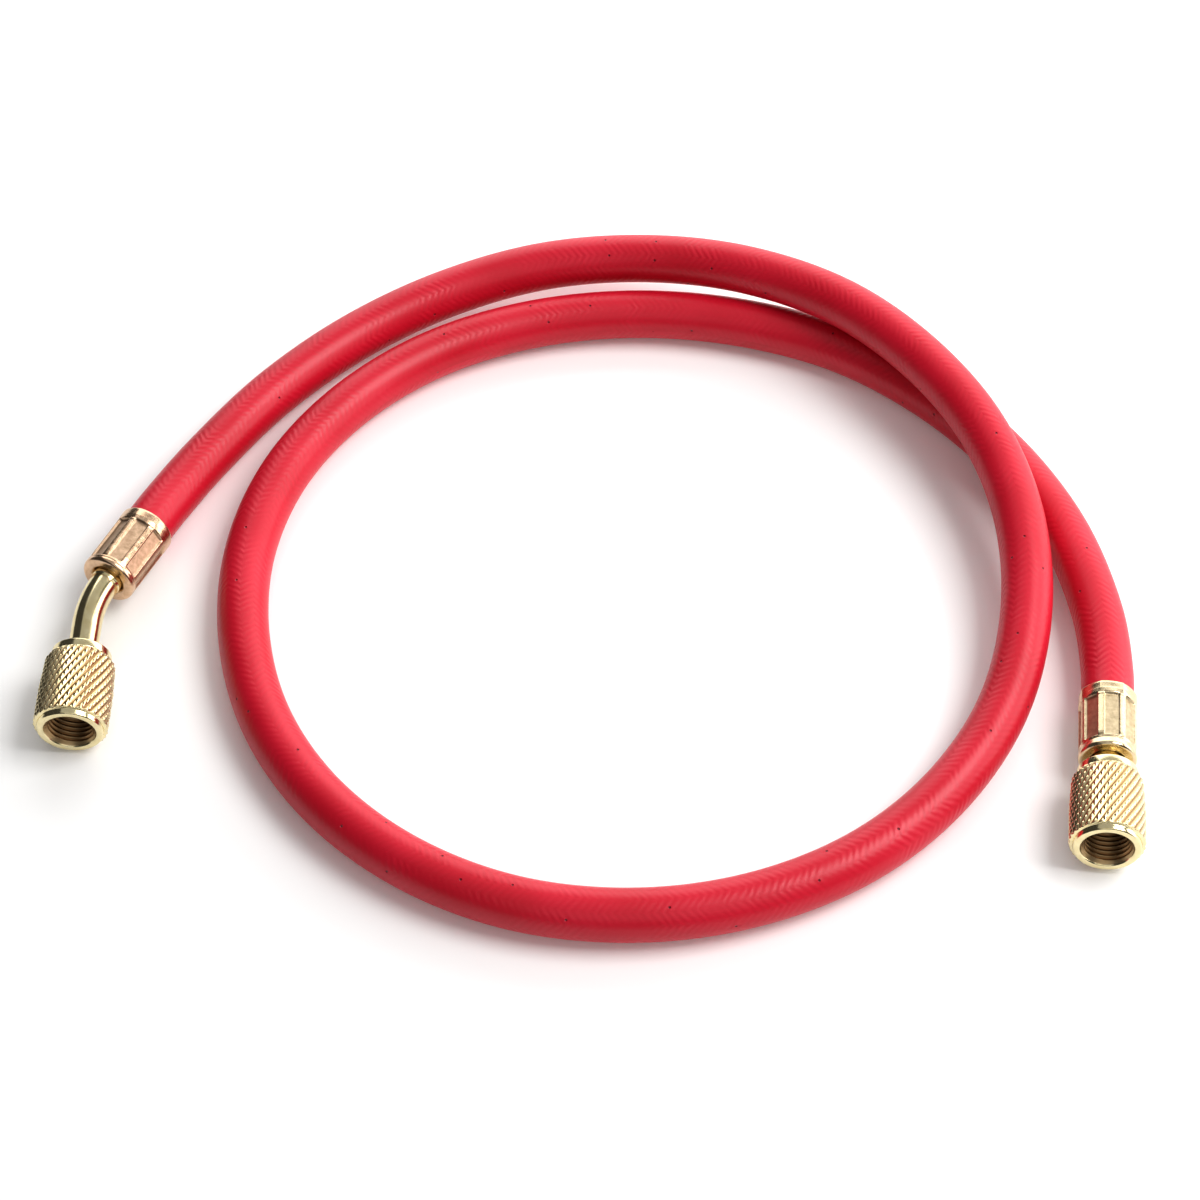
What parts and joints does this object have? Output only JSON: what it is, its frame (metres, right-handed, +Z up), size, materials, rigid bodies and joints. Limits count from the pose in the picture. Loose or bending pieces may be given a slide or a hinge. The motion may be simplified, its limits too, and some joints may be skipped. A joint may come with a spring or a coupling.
{
  "type": "refrigerant charging hose",
  "caption": "Single loop of red rubber charging hose with crimped brass ferrules and knurled swivel flare nuts, one fitting straight and one bent.",
  "frame": {"origin": "middle of the part's footprint, on the floor that it lies on", "axes": "+Z up from the floor; +X across the loop, from the bent fitting towards the straight one; -Y is the way both nuts open"},
  "size_m": [0.2508, 0.2056, 0.0243],
  "materials": {
    "red_rubber": "satin red rubber with the fine herringbone of the braid showing through",
    "pale_brass": "polished pale brass, knurled on the nuts",
    "warm_brass": "satin warm brass with crimped panels",
    "black_rubber": "matt black rubber"
  },
  "bodies": {
    "hose_assembly": {"hose": "red_rubber", "ferrule_straight": "warm_brass", "ferrule_bent": "warm_brass", "stem_straight": "pale_brass", "stem_bent": "pale_brass", "gasket_straight": "black_rubber", "gasket_bent": "black_rubber", "core_depressor": "pale_brass"},
    "straight_nut": {"nut_straight": "pale_brass"},
    "bent_nut": {"nut_bent": "pale_brass"}
  },
  "joints": [
    {"name": "straight_nut_swivel", "type": "hinge", "parent": "hose_assembly", "child": "straight_nut", "pos_m": [0.11405, -0.08184, 0.00905], "axis": [-0.1045, -0.9939, 0.0349], "continuous": true},
    {"name": "bent_nut_swivel", "type": "hinge", "parent": "hose_assembly", "child": "bent_nut", "pos_m": [-0.11697, -0.04939, 0.0085], "axis": [-0.0349, -0.9984, -0.0436], "continuous": true}
  ]
}
